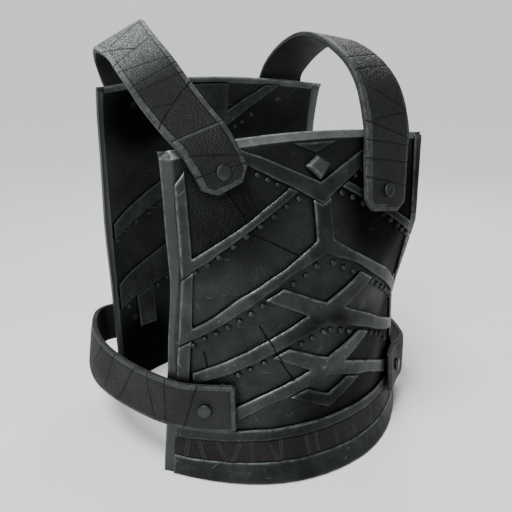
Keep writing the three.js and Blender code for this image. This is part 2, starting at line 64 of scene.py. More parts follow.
# ---- camera and stage --------------------------------------------------------------------------
CAMERA_X, CAMERA_Y, CAMERA_Z = -0.3695, -0.5302, 0.4814    # from the drawing's origin, in metres
CAMERA_DOWN = 19.1                   # degrees below level
CAMERA_ASIDE = 29.7                  # degrees from straight ahead
LENS, SENSOR = 38.67, 36
FLOOR_SIZE = 40                      # metres
SKY_HEIGHTS = (0.12, 0.4)            # sine of the height between which the sky grows dim
SKY_STRENGTHS = (0.96, 0.22)
SKY_COLOUR = (0.98, 0.99, 1.0, 1)

# ---- rivets: x and z, on both sides ------------------------------------------------------------
RIVET_RADIUS, RIVET_HEIGHT = 4.1, 3.2
RIVET_SPREAD = (0.9, 1.08)           # a small rivet's radius varies by these factors
HEIGHT_SPREAD = (0.9, 1.1)
RIVET_SEED = 7
RIVET_SINK, STRAP_RIVET_SINK = 0.6, 1.0    # how far a head's wall goes on into what carries it
TAIL_RADIUS, TAIL_HEIGHT = 5.5, 1.2
TAIL_REACH = 40 * MM                 # from a strap rivet's head to the hollow behind its plate
UNDER_CHEVRON = [(77, 370), (66, 364), (54, 358)]
UNDER_BRACE = [(30, 341), (46, 334), (63, 325), (80, 316), (97, 307), (112, 297), (128, 287),
               (140, 279), (152, 271)]
UNDER_YOKE = [(12, 262), (27, 253), (43, 245), (80, 224), (93, 215), (105, 207), (117, 199),
              (128, 191), (139, 184), (150, 174)]
UNDER_UPPER_CROSS = [(5, 180), (21, 175), (35, 170), (80, 152), (95, 145), (108, 138), (124, 123)]
UNDER_BACK_COLLAR = [(52, 389), (64, 395), (79, 407)]
UNDER_BACK_CHEVRON = [(83, 275), (102, 264), (125, 256), (146, 246), (161, 235)]
UNDER_BACK_GIRDLE = [(80, 154), (97, 145), (152, 126)]
# A head's section: share of its radius and of its height, from the edge to the top.
DOME = [(1.0, 0.12), (0.93, 0.42), (0.72, 0.76), (0.4, 0.95)]
DISC = [(1.0, 0.3), (0.97, 0.62), (0.88, 0.86), (0.78, 0.93), (0.6, 0.97), (0.3, 1.0)]
DOME_SIDES, TAIL_SIDES, DISC_SIDES = 12, 20, 28

# ---- surface marks: chains of x and z ----------------------------------------------------------
FRONT_CRACKS = [
    [(-115, 358), (-104, 341), (-96, 327)],
    [(-98, 313), (-70, 298), (-35, 278)],
    [(-83, 199), (-67, 165), (-48, 128)],
    [(-140, 166), (-137, 143)],
]
BAND_CRACKS = FRONT_CRACKS[2:3]      # only this crack runs on over the bands
BACK_CRACKS = [
    [(-178, 50), (-137, 58), (-101, 50)],
    [(-134, 87), (-137, 58)],
    [(-138, 40), (-137, 27)],
]
CRACK = (1.4 * MM, 2.5 * MM)         # width and wobble
HEM_SCORES = [
    [(-163, 49), (-167, 29)], [(-153, 48), (-150, 28)], [(-135, 49), (-129, 29)],
    [(-112, 48), (-122, 29)], [(-100, 50), (-101, 29)], [(-79, 45), (-74, 29)],
    [(-66, 51), (-69, 29)], [(-34, 49), (-34, 31)], [(-20, 51), (-21, 32)],
    [(8, 45), (10, 33)], [(37, 43), (41, 31)], [(78, 47), (74, 31)], [(118, 45), (124, 30)],
]
SCORE_GROOVE, SCORE_LIP, SCORE_WOBBLE = 1.2 * MM, 2.6 * MM, 2.5 * MM
SLOTTED = "shoulder_rivet_front_left"
SLOT_X, SLOT_Z = 2.6, 4.2            # half of the slot's reach across and up
SLOT = (2.2 * MM, 0.5 * MM)          # width and wobble
PEBBLED_PATCH = ((-118, 330), (62, 66))    # middle and reach

# ---- painted shade on the front: middle, reach across and up, and depth ------------------------
PLATE_SHADE = [
    ((98, 318), (100, 120), 0.96), ((150, 230), (70, 90), 0.6), ((-118, 330), (75, 80), 0.55),
    ((60, 75), (150, 55), 0.7), ((0, 400), (120, 40), 0.4), ((160, 140), (85, 130), 0.92),
    ((70, 145), (85, 60), 0.6),
]
BAND_SHADE = [
    ((0, 35), (320, 75), 0.28), ((115, 345), (85, 85), 0.8), ((0, 183), (60, 32), 0.6),
    ((0, 103), (60, 30), 0.6), ((0, 300), (40, 60), 0.3),
]
BACK_SHADE = [
    ((-110, 415), (90, 80), 0.95), ((90, 400), (120, 50), 0.5), ((-130, 45), (90, 100), 0.95),
]
RIVET_SHADE = [((115, 345), (85, 85), 0.85)]

# ---- steel -------------------------------------------------------------------------------------
EDGE_WEAR_AND_HIGHLIGHT, RIVET_WEAR_AND_HIGHLIGHT = 5.5 * MM, 1.2 * MM    # how far wear and its painted highlight reach from an edge
CREVICE_SHADE_REACH, RIM_CREVICE_SHADE_REACH = 30 * MM, 10 * MM           # how far the painted crevice shade reaches from a crevice
TO_LIGHT = (-0.4, 0.0, 0.9)          # edges that lean this way get the most painted highlight
SCRATCH_TURNS = (0.5, -0.9, 1.4)     # radians
FLANGE_BLEND = 1.5                   # over how much a flange's paler finish starts
TOP_RIM = 166                        # the top rim's finish ends this far aside
FOLD = math.radians(28)              # edges that turn by more than this stay folds
PLATE_ROUNDING = 0.9
# Width of the other pieces' rounded edges by slot; the one for plate_steel is the neck gusset's.
ROUNDING = {"band_steel": 2.0, "inner_band_steel": 0.7, "hem_leather": 0.7, "plate_steel": 0.6}
UNEVEN = 1.0 * MM                    # how far the bands' forged edges wander up and down
UNEVEN_SCALE = 55
FLOOR_GAP = 2 * MM                   # nothing wanders below this height
CELL_LENGTHS = (16 * MM, 8 * MM)     # longer edges of a band are halved, in this order

# ---- leather -----------------------------------------------------------------------------------
# the grey of worn leather, also used for painted highlights: on a layer's lip, and six times as
# light on a crest
LEATHER_WORN_AND_LIT = 0.08
BROWN = (1.4, 1.02, 0.84, 1)         # times the grey of the hem
BROWN_FADES = (-0.17, 0.04)          # metres
# Distance from the front end at the two sides of the strap, and where across the strap the
# crease starts and ends, from -1 to 1.
CREASES = {
    "shoulder_strap_right": [
        (28, 15, -1, 1), (53, 24, -0.8, 1), (93, 127, -1, 1), (122, 99, -0.7, -0.1),
        (152, 145, -0.9, 1), (164, 167, -1, 1), (212, 179, -1, 1), (230, 248, -1, 1),
        (279, 205, -1, 0.1), (272, 302, -0.6, 0.8), (345, 331, -1, 1), (392, 400, -1, 1),
    ],
    "shoulder_strap_left": [
        (40, 32, -1, 1), (62, 61, -1, 1), (84, 81, -1, 1), (108, 88, -1, 1),
        (106, 122, -0.6, 1), (162, 122, -0.5, 1), (178, 190, -0.8, 1), (201, 214, -0.8, 1),
        (262, 251, -1, 1), (318, 330, -1, 1), (402, 391, -1, 1), (447, 452, -1, 1),
    ],
    "side_strap_right": [
        (62, 46, -1, 1), (84, 89, -1, 1), (100, 118, -1, 1), (169, 140, -1, 1),
        (200, 188, -0.7, 1), (258, 222, -0.2, 0.9), (301, 312, -1, 1), (352, 341, -1, 1),
    ],
    "side_strap_left": [
        (60, 47, -1, 1), (92, 85, -1, 1), (131, 118, -1, 1), (178, 196, -1, 1),
        (232, 214, -0.8, 1), (297, 306, -1, 1), (349, 341, -1, 1),
    ],
}
CREASE_DEPTH, CREASE_WIDTH = 0.45, 1.6
CREASE_SLACK = 0.05                  # how far a crease runs on past its ends, across the strap
CREASE_BEND, CREASE_WAVES = 0.5, 5   # how far it bends from a straight line, and how often
DRAWN_CREASE = (1.4 * MM, 1.6 * MM)  # width and wobble
CREASE_HALF = 27                     # half a strap's width where its creases are laid flat
NO_CREASES = -50                     # a distance along the strap that no crease comes near
LAYER_EDGES = {"shoulder_strap_right": (74, 63)}    # where a second layer of leather ends
LAYER_STEP = 1.1
LAYER_LIP = (2 * MM, 1.6 * MM)       # width and wobble of the painted highlight along its edge
LIP_BACK = 2                         # that line's distance from the layer's edge
# How much wider the worn border is on the wearer's right.
WIDER_BORDER = {"shoulder_strap_left": 3.5, "shoulder_strap_right": 1.0}
# The painted highlight on a strap's crest: where it starts, where it begins to fade, and its
# strength.
CREST_HIGHLIGHT = {"shoulder_strap_right": (140, 335, 0.97), "shoulder_strap_left": (130, 330, 0.2)}
NO_CREST = (1, 2, 0.0)
CREST_RISE, CREST_FALL = 160, 60

# ---- a strap's section and ends ----------------------------------------------------------------
THICKNESS = 8.0
SHOULDER, SHOULDER_DROP = 4.5, 2.6   # the rounded outer edges: reach across and down
CROWN = 0.5                          # how much the outer face falls towards its sides
SIDE_DEPTHS = (-4.3, -5.6)
LOW_ROUNDING = 1.6                   # of the inner edges
# First and last place and number of points: across from -1 to 1, and round the edges in degrees.
FACE_POINTS, INNER_POINTS = (-1, 1, 31), (0.9, -0.9, 9)
SHOULDER_ARC, LOW_ARC = (12, 90, 6), (0, 90, 4)
OUTSIDE, INSIDE = -3, -7             # depths above and below which it is outer and inner face
SIDE_MARGIN = 4.4                    # the margin given to the sides, which are worn all over
CHAMFER = 1 * MM                     # of the solid's inner edges
CAP_CORNERS, CAP_TURN = 8, math.radians(38)    # of an end face of the solid
STRAP_PITCH = 1.2                    # length of a mesh cell along a strap
TIP = (0, 0.5, 1.2, 2.2, 3.6)        # the rings of a rounded end
TIP_ROUNDING = 2.4                   # how much thinner an end gets
BODY_START = 5                       # where the even rings start
END_CUT = {"shoulder": 13, "side": 3}    # the cut corners of an end
CUT_CURVE = 1.15
HIGHEST = LAYER_STEP + 0.3           # the outer face comes no higher
RIPPLE = 0.5                         # how much the outer face is uneven
RIPPLE_ALONG, RIPPLE_ACROSS = 0.03, 1.5

# ---- node graphs -------------------------------------------------------------------------------
X, Y, Z = range(3)
MOST = (0.3, 0.7)                    # the range that holds most values of a noise
ALL = (0.2, 0.8)                     # the range that holds nearly all of them
FALLING = (1.0, 0.0)


class Graph:
    """The node tree of a new material, with short calls that add and join nodes."""

    def __init__(self, name, uniform):
        """uniform gives the shader's values that are the same all over."""
        self.material = bpy.data.materials.new(name)
        self.material.use_nodes = True
        self.tree = self.material.node_tree
        self.shader = self.tree.nodes["Principled BSDF"]
        for key, value in uniform.items():
            self.shader.inputs[key].default_value = value
        self.place = self.add("ShaderNodeTexCoord").outputs["Object"]

    def add(self, kind, values=None, **settings):
        node = self.tree.nodes.new(kind)
        for key, value in settings.items():
            setattr(node, key, value)
        for key, value in (values or {}).items():
            self.feed(node.inputs[key], value)
        return node

    def feed(self, socket, value):
        if isinstance(value, bpy.types.NodeSocket):
            self.tree.links.new(value, socket)
        else:
            socket.default_value = value

    def finish(self, colour, roughness, normal):
        self.feed(self.shader.inputs["Base Color"], colour)
        self.feed(self.shader.inputs["Roughness"], roughness)
        self.feed(self.shader.inputs["Normal"], normal)
        return self.material

    # ---- numbers and vectors
    def math(self, operation, *values):
        node = self.add("ShaderNodeMath", operation=operation)
        for socket, value in zip(node.inputs, values):
            self.feed(socket, value)
        return node.outputs[0]

    def folded(self, operation, first, others):
        for other in others:
            first = self.math(operation, first, other)
        return first

    def product(self, first, *others):
        return self.folded("MULTIPLY", first, others)

    def total(self, first, *others):
        return self.folded("ADD", first, others)

    def highest(self, first, *others):
        return self.folded("MAXIMUM", first, others)

    def rest(self, share):
        return self.math("SUBTRACT", 1.0, share)

    def span(self, value, between, to=(0.0, 1.0)):
        """The value carried smoothly from one range to another, and held at its ends."""
        values = {"Value": value, "From Min": between[0], "From Max": between[1],
                  "To Min": to[0], "To Max": to[1]}
        return self.add("ShaderNodeMapRange", values, interpolation_type="SMOOTHSTEP").outputs[0]

    def vector(self, operation, *values):
        node = self.add("ShaderNodeVectorMath", operation=operation)
        for socket, value in zip(node.inputs, values):
            self.feed(socket, value)
        return node.outputs["Value" if operation in ("LENGTH", "DISTANCE", "DOT_PRODUCT") else 0]

    def part(self, vector, axis):
        return self.add("ShaderNodeSeparateXYZ", {0: vector}).outputs[axis]

    def attribute(self, name, kind="Fac"):
        return self.add("ShaderNodeAttribute", attribute_name=name).outputs[kind]

    # ---- colours
    def mix(self, share, first, second, blend="MIX"):
        node = self.add("ShaderNodeMix", data_type="RGBA", blend_type=blend)
        for socket, value in zip((0, 6, 7), (share, first, second)):
            self.feed(node.inputs[socket], value)
        return node.outputs[2]

    def toned(self, level, tone):
        """A grey of that level, times the tone."""
        return self.mix(1.0, grey(level), tone, "MULTIPLY")

    def toward(self, colour, level, share):
        """The colour, turned by that share to a grey of that level."""
        return self.mix(share, colour, grey(level))

    # ---- patterns
    def noise(self, scale, detail, rough=0.5, at=None):
        values = {"Vector": at or self.place, "Scale": scale, "Detail": detail, "Roughness": rough}
        return self.add("ShaderNodeTexNoise", values).outputs["Fac"]

    def pebbled(self, scale):
        """Height of a pebbled grain: 0 at the top of a pebble, and less around it."""
        values = {"Vector": self.place, "Scale": scale, "Randomness": 1.0, "Smoothness": 0.5}
        cells = self.add("ShaderNodeTexVoronoi", values, feature="SMOOTH_F1").outputs["Distance"]
        return self.product(cells, -1.0)

    def scratches(self, turn):
        """A few fine short lines in one direction."""
        values = {"Vector": self.place, "Angle": turn}
        turned = self.add("ShaderNodeVectorRotate", values, rotation_type="Y_AXIS").outputs[0]
        at = self.vector("MULTIPLY", turned, (330, 60, 26))
        return self.span(self.noise(1.0, 1.0, at=at), (0.74, 0.8))

    def bump(self, height, distance, under=None):
        values = {"Height": height, "Distance": distance, "Strength": 1.0}
        if under:
            values["Normal"] = under
        return self.add("ShaderNodeBump", values).outputs["Normal"]

    # ---- what the shape is like at a point
    def normal(self):
        return self.add("ShaderNodeNewGeometry").outputs["Normal"]

    def facing_front(self):
        """1 on faces that look to the front of the part, 0 on those that look back."""
        return self.span(self.part(self.normal(), Y), (-0.2, 0.2), FALLING)

    def edges(self, radius):
        """How near an edge is, from 0 to 1: a crisp line in a faint broad one.

        It is strongest on edges that lean to the light, as a painted highlight.
        """
        soft = self.add("ShaderNodeBevel", {"Radius": radius}, samples=6).outputs[0]
        hard = self.normal()
        turned = self.rest(self.vector("DOT_PRODUCT", soft, hard))
        crisp = self.span(turned, (0.03, 0.13))
        broad = self.span(turned, (0.004, 0.05), to=(0.0, 0.3))
        lean = self.vector("DOT_PRODUCT", self.vector("SUBTRACT", soft, hard), TO_LIGHT)
        return self.product(self.highest(crisp, broad),
                            self.span(lean, (-0.15, 0.12), to=(0.35, 1.15)))

    def crevice_shade(self, reach, darkest):
        """Painted shade from ambient occlusion: 1 in the open, falling to the darkest tone in
        crevices.
        """
        shade = self.add("ShaderNodeAmbientOcclusion", {"Distance": reach}, samples=6).outputs["AO"]
        return self.span(shade, (0.15, 0.85), to=(darkest, 1.0))

    # ---- places on the drawing
    def stroke(self, start, end, width, at):
        """1 on the line between two places, falling to 0 at width to either side."""
        reach = end - start
        away = self.vector("SUBTRACT", at, start)
        share = self.vector("DOT_PRODUCT", away, reach)
        share = self.math("DIVIDE", share, reach.length_squared)
        share = self.add("ShaderNodeClamp", {"Value": share}).outputs[0]
        values = {0: reach, "Scale": share}
        nearest = self.add("ShaderNodeVectorMath", values, operation="SCALE").outputs[0]
        return self.span(self.vector("DISTANCE", away, nearest), (0.0, width), FALLING)

    def strokes(self, chains, width, wobble, at=None, middle=MIDDLE_X):
        """All the lines of some chains of x and z in mm, wobbling by that much."""
        at = at or self.place
        shake = self.add("ShaderNodeTexNoise", {"Vector": at, "Scale": 90.0, "Detail": 2.0})
        shake = self.vector("SUBTRACT", shake.outputs["Color"], (0.5, 0.5, 0.5))
        shake = self.vector("MULTIPLY", shake, (wobble, wobble, wobble))
        at = self.vector("MULTIPLY", self.vector("ADD", at, shake), (1, 0, 1))
        lines = []
        for chain in chains:
            places = [Vector((middle + x * MM, 0, z * MM)) for x, z in chain]
            lines += [self.stroke(start, end, width, at) for start, end in zip(places, places[1:])]
        return self.highest(*lines)

    def near(self, middle, reach):
        """1 at a drawn place, falling to 0 at its reaches across and up."""
        x, z = middle
        across, up = reach
        away = self.vector("SUBTRACT", self.place, (MIDDLE_X + x * MM, 0, z * MM))
        away = self.vector("MULTIPLY", away, (1 / (across * MM), 0, 1 / (up * MM)))
        return self.span(self.vector("LENGTH", away), (0.35, 1.0), FALLING)

    def shadow(self, places):
        """Painted shadow: the deepest of some soft dark places on the front."""
        depths = [self.product(self.near(middle, reach), depth) for middle, reach, depth in places]
        return self.product(self.highest(0.0, *depths), self.facing_front())

    def flange(self, start, share):
        """share further aside than start on both sides, and 0 between them."""
        aside = self.vector("ABSOLUTE", self.vector("SUBTRACT", self.place, (MIDDLE_X, 0, 0)))
        between = (start * MM, (start + FLANGE_BLEND) * MM)
        return self.span(self.part(aside, X), between, to=(0.0, share))


# ---- materials ---------------------------------------------------------------------------------
def grey(level):
    """A grey with a little less red in it."""
    return (0.89 * level, level, 0.98 * level, 1)


def steel(name, level, worn_and_lit, shade=(), lines=None, pebbles=0.0, flange=None,
          edge_reach=EDGE_WEAR_AND_HIGHLIGHT, crevice_reach=CREVICE_SHADE_REACH, mottle=0.3, chipped=0.3):
    """Dark sheet steel: cloudy tone, fine scratches, painted shade in the crevices and dark places,
    and bright worn edges, paler still as a painted highlight where they face the light.

    level is how light it is, and the worn tone how light it is where it is rubbed bare and where
    the painted highlight falls. lines are chains of cuts, darkened as painted shade, with their
    width and wobble, and flange is a paler border's start and strength.
    """
    g = Graph(name, {"Metallic": 0.9, "Specular IOR Level": 0.3})
    cloud = g.noise(11.0, 6.0, 0.6)
    blotch = g.noise(45.0, 8.0, 0.78)
    speck = g.noise(420.0, 3.0, 0.6)
    brushed = g.noise(60.0, 4.0, 0.6, at=g.vector("MULTIPLY", g.place, (1.0, 1.0, 9.0)))
    # Painted shade: darker in the crevices, by ambient occlusion, and in the given dark places.
    crevice_shading = g.crevice_shade(crevice_reach, 0.08)
    shadow = g.shadow(shade)

    varied = (1 - mottle, 1 + mottle)
    tone = g.product(g.span(cloud, MOST, varied), g.span(brushed, ALL, (0.93, 1.07)),
                     g.span(blotch, MOST, varied), crevice_shading, g.rest(shadow))
    colour = g.toned(level, tone)

    patchy = g.span(g.noise(75.0, 5.0, 0.75), (0.35, 0.6), to=(0.15, 1.0))
    # Painted highlight: worn edges that face up are made paler.
    upward = g.span(g.part(g.normal(), Z), (-0.5, 0.4), to=(0.35, 1.0))
    chips = g.product(g.span(g.noise(160.0, 2.0), (0.64, 0.74)),
                      g.span(cloud, (0.45, 0.6), to=(0.0, chipped)))
    scratches = [g.product(g.scratches(turn), 0.3) for turn in SCRATCH_TURNS]
    pale_share = g.highest(g.product(g.edges(edge_reach), patchy, upward), chips, *scratches)
    pale_share = g.product(pale_share, crevice_shading)
    if flange:
        pale_share = g.highest(pale_share, g.flange(*flange))
    pale_share = g.product(pale_share, g.rest(g.product(shadow, 0.8)))
    colour = g.toward(colour, worn_and_lit, pale_share)

    dull = g.total(g.span(cloud, MOST, (0.56, 0.42)), g.span(speck, ALL, (-0.05, 0.08)),
                   g.product(shadow, 0.35))
    roughness = g.mix(pale_share, dull, (0.33, 0.33, 0.33, 1))

    normal = g.bump(g.total(g.product(brushed, 0.2), g.product(speck, 0.5)), 0.45 * MM)
    if pebbles:
        patches = g.span(g.noise(14.0, 2.0), (0.45, 0.65), to=(0.1, 0.6))
        patches = g.highest(g.near(*PEBBLED_PATCH), patches)
        normal = g.bump(g.product(g.pebbled(460.0), patches), 1.5 * MM * pebbles, normal)
    if lines:
        # The cuts are darkened in their grooves as painted shade.
        groove = g.product(g.strokes(*lines), g.facing_front())
        normal = g.bump(g.product(groove, -1.0), 1.2 * MM, normal)
        colour = g.toward(colour, level * 0.2, g.product(groove, 0.8))
    return g.finish(colour, roughness, normal)


def slotted_steel(node, level, worn_and_lit):
    """Rivet steel with a slanting slot across the head of that rivet, darkened as painted shade."""
    low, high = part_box(node)
    x = ((low.x + high.x) / 2 - MIDDLE_X) / MM
    z = (low.z + high.z) / 2 / MM
    slot = [[(x - SLOT_X, z - SLOT_Z), (x + SLOT_X, z + SLOT_Z)]]
    return steel("slotted_rivet_steel", level, worn_and_lit, lines=(slot, *SLOT), edge_reach=RIVET_WEAR_AND_HIGHLIGHT)


def crease_line(low, high, start, end):
    """The two ends of a crease as across and along, on a strap laid flat."""
    return [(u * CREASE_HALF, low + (high - low) * (u + 1) / 2) for u in (start, end)]


def strap_leather(node, level):
    """Dark leather: pebbled grain, crisp creases darkened by painted shade, a paler worn border
    along the edges, a painted highlight on the crest and painted shade on the inner face.
    """
    g = Graph(f"{node}_leather", {"Specular IOR Level": 0.2})
    flat = g.attribute("flat", "Vector")
    along = g.part(flat, Z)
    margin = g.attribute("margin")
    border = g.span(margin, (4.6, 6.0), FALLING)
    seam = g.product(g.span(margin, (5.6, 6.2)), g.span(margin, (6.2, 7.2), FALLING))
    cloud = g.noise(16.0, 5.0, 0.6)
    fine = g.noise(300.0, 4.0, 0.65)
    cells = g.pebbled(540.0)

    # The tone takes painted shade in the crevices.
    tone = g.product(g.span(cloud, MOST, (0.75, 1.3)), g.span(fine, ALL, (0.8, 1.2)),
                     g.crevice_shade(30 * MM, 0.2))
    colour = g.toned(level, tone)
    pale_share = g.span(g.noise(120.0, 5.0, 0.7), (0.3, 0.65), to=(0.2, 0.75))
    colour = g.toward(colour, LEATHER_WORN_AND_LIT, g.product(border, pale_share))

    # Painted highlight on the crest, brightest on the tops of the pebbles.
    start, fade, strength = CREST_HIGHLIGHT.get(node, NO_CREST)
    crest = g.product(g.span(along, (start * MM, (start + CREST_RISE) * MM), to=(0.0, strength)),
                      g.span(along, (fade * MM, (fade + CREST_FALL) * MM), FALLING),
                      g.span(cells, (-0.6, -0.15), to=(0.45, 1.05)))
    colour = g.toward(colour, LEATHER_WORN_AND_LIT * 6, crest)

    creases = [crease_line(*crease) for crease in CREASES[node]]
    # The layer's edge is darkened like a crease, as painted shade, with a painted highlight on its
    # lip.
    if node in LAYER_EDGES:
        low, high = LAYER_EDGES[node]
        creases.append(crease_line(low, high, -1, 1))
        lip = [crease_line(low - LIP_BACK, high - LIP_BACK, -1, 1)]
        lip = g.product(g.strokes(lip, *LAYER_LIP, flat, 0.0), 0.8)
        colour = g.toward(colour, LEATHER_WORN_AND_LIT, lip)
    groove = g.strokes(creases, *DRAWN_CREASE, flat, 0.0)
    colour = g.toward(colour, level * 0.3, g.span(cells, (-0.55, -0.2), to=(0.5, 0.0)))
    # Painted shade in the creases.
    colour = g.toward(colour, level * 0.15, g.product(groove, 0.95))
    colour = g.toward(colour, level * 0.3, g.product(seam, 0.5))
    # Painted shade on the inner face.
    colour = g.toward(colour, level * 0.15, g.product(g.attribute("inner"), 0.75))

    grain = g.product(cells, g.rest(border), g.span(along, (60 * MM, 80 * MM), to=(0.55, 1.0)))
    normal = g.bump(fine, 0.3 * MM)
    normal = g.bump(grain, 1.6 * MM, normal)
    normal = g.bump(g.product(g.total(groove, g.product(seam, 0.5)), -1.0), 1.0 * MM, normal)
    return g.finish(colour, g.span(cloud, MOST, (0.66, 0.52)), normal)


def hem_leather(level):
    """The scored panel above the hem: brown on the wearer's right, grey on the left, with painted
    shade in the scores and a painted highlight on their lips.
    """
    g = Graph("hem_leather", {"Specular IOR Level": 0.15})
    cloud = g.noise(22.0, 5.0, 0.6)
    fine = g.noise(300.0, 4.0, 0.65)
    # The tone takes painted shade in the crevices.
    tone = g.product(g.span(cloud, MOST, (0.6, 1.5)), g.span(fine, ALL, (0.75, 1.25)),
                     g.crevice_shade(20 * MM, 0.2))
    colour = g.toned(level, tone)
    browned = g.mix(1.0, colour, BROWN, "MULTIPLY")
    colour = g.mix(g.span(g.part(g.place, X), BROWN_FADES, FALLING), colour, browned)
    lips = g.strokes(HEM_SCORES, SCORE_LIP, SCORE_WOBBLE)
    groove = g.strokes(HEM_SCORES, SCORE_GROOVE, SCORE_WOBBLE)
    # Painted highlight on the scores' lips, and painted shade in their grooves.
    colour = g.toward(colour, level * 8, g.product(lips, 0.7))
    colour = g.toward(colour, level * 0.2, g.product(groove, 0.8))
    normal = g.bump(fine, 0.4 * MM)
    normal = g.bump(g.pebbled(420.0), 0.8 * MM, normal)
    normal = g.bump(g.math("SUBTRACT", g.product(lips, 0.4), groove), 1.2 * MM, normal)
    return g.finish(colour, g.span(cloud, MOST, (0.62, 0.5)), normal)


# ---- meshes from the solids --------------------------------------------------------------------
def solid(node):
    """The node's own mesh, with shared corners."""
    bm = bmesh.new()
    bm.from_mesh(frame["nodes"][node].data)
    bmesh.ops.remove_doubles(bm, verts=bm.verts, dist=SAME_PLACE)
    return bm


def welded(node):
    """The same as four-sided faces, where they can be joined."""
    bm = solid(node)
    bmesh.ops.join_triangles(bm, faces=bm.faces, angle_face_threshold=math.radians(25),
                             angle_shape_threshold=math.radians(50))
    return bm


def solid_tree(node):
    """The node's surface, to cast rays at."""
    bm = solid(node)
    tree = BVHTree.FromBMesh(bm)
    bm.free()
    return tree


def as_mesh(name, bm):
    mesh = bpy.data.meshes.new(name)
    bm.to_mesh(mesh)
    bm.free()
    return mesh


def placed(name, data):
    made = bpy.data.objects.new(name, data)
    bpy.context.scene.collection.objects.link(made)
    return made


def shown(name, bm, material, slot):
    """A piece with a smooth finish."""
    mesh = as_mesh(name, bm)
    for polygon in mesh.polygons:
        polygon.use_smooth = True
    mesh.materials.append(material)
    piece = placed(name, mesh)
    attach(piece, "root")
    return piece


def dressed(node, bm, material, slot):
    """A piece with a smooth finish that stands for the node."""
    piece = shown(f"{node}_dressed", bm, material, slot)
    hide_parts(node)
    return piece


def soften(piece, width):
    """Rounded folds, with flat faces kept flat to the light."""
    bevel = piece.modifiers.new("folds", "BEVEL")
    bevel.width = width * MM
    bevel.segments = 2
    bevel.limit_method = "ANGLE"
    bevel.angle_limit = FOLD
    weighted = piece.modifiers.new("light", "WEIGHTED_NORMAL")
    weighted.keep_sharp = True


# ---- plates and bands --------------------------------------------------------------------------
def regions(bm, folds):
    """The faces in groups that no fold divides, the largest first."""
    left = set(bm.faces)
    groups = []
    while left:
        group = []
        waiting = [left.pop()]
        while waiting:
            face = waiting.pop()
            group.append(face)
            near = {f for e in face.edges if e not in folds for f in e.link_faces} & left
            left -= near
            waiting.extend(near)
        groups.append(group)
    return sorted(groups, key=lambda group: -sum(face.calc_area() for face in group))


def plate_piece(node, material, rim_material):
    """A plate with its facets smoothed between its folds, and its own finish on the top rim."""
    bm = welded(node)
    crease = bm.edges.layers.float.new("crease_edge")
    folds = {e for e in bm.edges if len(e.link_faces) == 2 and e.calc_face_angle() > FOLD}
    for edge in folds:
        edge[crease] = 1.0
    outer_and_inner = 2
    for rim in regions(bm, folds)[outer_and_inner:]:
        for face in rim:
            if abs(face.calc_center_median().x - MIDDLE_X) < TOP_RIM * MM:
                face.material_index = 1
    piece = dressed(node, bm, material, "plate_steel")
    piece.data.materials.append(rim_material)
    smooth = piece.modifiers.new("smooth", "SUBSURF")
    smooth.levels = 2
    smooth.render_levels = 2
    soften(piece, PLATE_ROUNDING)


def band_piece(node, material, slot):
    """A band with rounded edges that are a little uneven, as forged ones are."""
    bm = welded(node)
    for longest in CELL_LENGTHS:
        long_edges = [e for e in bm.edges if e.calc_length() > longest]
        bmesh.ops.subdivide_edges(bm, edges=long_edges, cuts=1, use_grid_fill=True)
    for vert in bm.verts:
        if vert.co.z > FLOOR_GAP:
            vert.co.z += noise.noise(vert.co * UNEVEN_SCALE) * UNEVEN
    soften(dressed(node, bm, material, slot), ROUNDING[slot])


# ---- straps ------------------------------------------------------------------------------------
def cap_corners(node):
    """The corners of the front end of a strap's solid, in order."""
    bm = solid(node)
    bmesh.ops.dissolve_limit(bm, angle_limit=math.radians(0.5), verts=bm.verts, edges=bm.edges)
    caps = [f for f in bm.faces
            if len(f.verts) == CAP_CORNERS and all(e.calc_face_angle() > CAP_TURN for e in f.edges)]
    cap = min(caps, key=lambda f: f.calc_center_median().y)
    corners = [v.co.copy() for v in cap.verts]
    bm.free()
    return corners


def strap_rings(node):
    """The sections of a strap's solid, from its front end to its rear end, corner by corner."""
    bm = solid(node)
    ring = [min(bm.verts, key=lambda v: (v.co - corner).length) for corner in cap_corners(node)]
    seen = set()
    rings = []
    while ring:
        seen.update(ring)
        rings.append([v.co.copy() for v in ring])
        ring = next_ring(ring, seen)
    bm.free()
    return rings


def next_ring(ring, seen):
    """The next section's corners, in the order of this one's."""
    new = {e.other_vert(v) for v in ring for e in v.link_edges} - seen
    if not new:
        return []
    cycle = [new.pop()]
    while new:
        beside = {e.other_vert(cycle[-1]) for e in cycle[-1].link_edges} & new
        cycle.append(min(beside or new, key=lambda v: (v.co - cycle[-1].co).length))
        new.remove(cycle[-1])
    count = len(cycle)
    turns = [[run[(i + k) % count] for i in range(count)]
             for run in (cycle, cycle[::-1]) for k in range(count)]
    return min(turns, key=lambda turn: sum((a.co - b.co).length for a, b in zip(ring, turn)))


def strap_frames(node):
    """Middle of the outer face, direction across, outward and width of each section, as arrays."""
    rows = []
    for ring in strap_rings(node):
        sides = [(ring[i] - ring[i - 1], ring[i], ring[i - 1]) for i in range(len(ring))]
        sides.sort(key=lambda side: side[0].length)
        inner, outer = sides[-1], sides[-2]
        middle = (outer[1] + outer[2]) / 2
        outward = (middle - (inner[1] + inner[2]) / 2).normalized()
        rows.append((middle, outward, inner[0].length + 2 * CHAMFER))
    middles, outward, widths = (np.array(column) for column in zip(*rows))
    across = np.cross(np.gradient(middles, axis=0), outward)
    widths[0] = widths[1]
    widths[-1] = widths[-2]
    return middles, across, outward, widths


